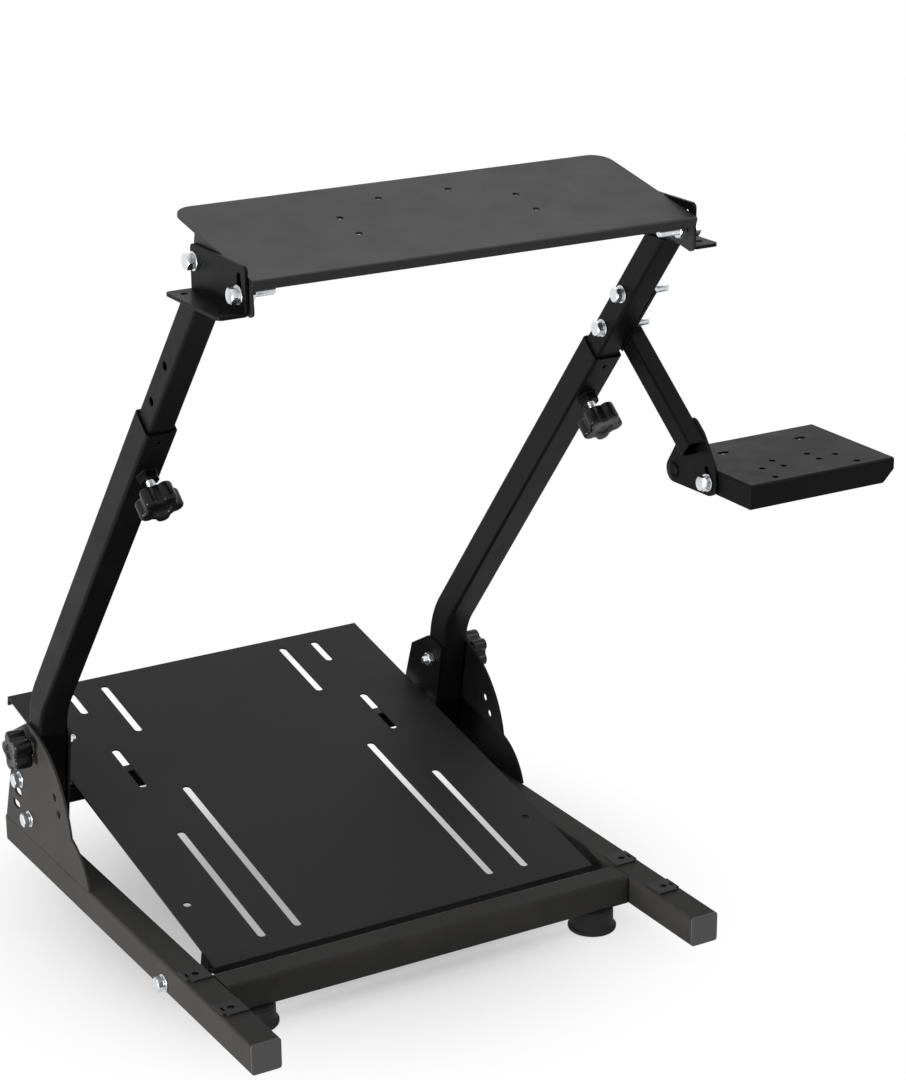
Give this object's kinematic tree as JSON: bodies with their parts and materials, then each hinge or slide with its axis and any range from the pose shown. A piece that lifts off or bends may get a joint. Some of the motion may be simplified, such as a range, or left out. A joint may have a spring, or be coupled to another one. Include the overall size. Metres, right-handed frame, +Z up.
{
  "type": "racing wheel stand",
  "caption": "Free-standing folding steel stand for a game steering wheel: sloped pedal tray, leaning uprights, tilting wheel plate and a shifter plate on a side arm.",
  "frame": {"origin": "bottom centre of the stand's box, on the floor under its feet", "axes": "+X to the right of the driver, +Y away from the driver, +Z up"},
  "size_m": [0.7106, 0.6566, 0.764],
  "materials": {
    "black_powder_coat": "satin black powder coat on steel",
    "zinc_plate": "bright zinc plate",
    "knob_plastic": "moulded black plastic, slightly glossy",
    "cap_plastic": "moulded dark grey plastic",
    "foot_rubber": "black rubber"
  },
  "bodies": {
    "base": {"left_rail": "black_powder_coat", "right_rail": "black_powder_coat", "rail_end_caps": "cap_plastic", "front_cross_tube": "black_powder_coat", "rear_cross_tube": "black_powder_coat", "rubber_feet": "foot_rubber", "rear_foot_studs": "zinc_plate", "rail_tabs": "black_powder_coat", "left_outer_gusset": "black_powder_coat", "left_inner_gusset": "black_powder_coat", "right_outer_gusset": "black_powder_coat", "right_inner_gusset": "black_powder_coat", "fold_pivot_bolts": "zinc_plate", "fold_lock_studs": "zinc_plate", "fold_lock_nuts": "zinc_plate", "tray_pivot_bolts": "zinc_plate", "tray_rear_bolts": "zinc_plate", "left_fold_knob": "knob_plastic", "right_fold_knob": "knob_plastic"},
    "pedal_tray": {"pedal_tray": "black_powder_coat", "tray_lug_bolts": "zinc_plate"},
    "uprights": {"left_upright": "black_powder_coat", "right_upright": "black_powder_coat", "height_clamp_nuts": "black_powder_coat", "height_clamp_studs": "zinc_plate", "left_height_knob": "knob_plastic", "right_height_knob": "knob_plastic"},
    "wheel_carriage": {"left_inner_tube": "black_powder_coat", "right_inner_tube": "black_powder_coat", "left_top_bracket": "black_powder_coat", "right_top_bracket": "black_powder_coat", "tilt_pivot_bolts": "zinc_plate", "shifter_mount_plate": "black_powder_coat", "shifter_mount_bolts": "zinc_plate", "shifter_arm": "black_powder_coat", "shifter_end_plate": "black_powder_coat", "shifter_pivot_pin": "black_powder_coat"},
    "wheel_plate": {"wheel_plate": "black_powder_coat", "tilt_slot_bolts": "zinc_plate"},
    "shifter_plate": {"shifter_plate": "black_powder_coat", "shifter_slot_bolt": "zinc_plate"}
  },
  "joints": [
    {"name": "fold", "type": "hinge", "parent": "base", "child": "uprights", "pos_m": [-0.0817, 0.17518, 0.075], "axis": [1, 0, 0], "range_deg": [0, 44]},
    {"name": "height", "type": "slide", "parent": "uprights", "child": "wheel_carriage", "axis": [0, -0.6211, 0.7837], "range_m": [0, 0.15]},
    {"name": "wheel_tilt", "type": "hinge", "parent": "wheel_carriage", "child": "wheel_plate", "pos_m": [-0.0817, -0.20782, 0.72958], "axis": [-1, 0, 0], "range_deg": [0, 10]},
    {"name": "shifter_tilt", "type": "hinge", "parent": "wheel_carriage", "child": "shifter_plate", "pos_m": [0.1893, -0.21025, 0.46479], "axis": [-1, 0, 0], "range_deg": [0, 12]},
    {"name": "tray_tilt", "type": "hinge", "parent": "base", "child": "pedal_tray", "pos_m": [-0.0817, -0.14182, 0.033], "axis": [-1, 0, 0], "range_deg": [0, 5.8]}
  ]
}
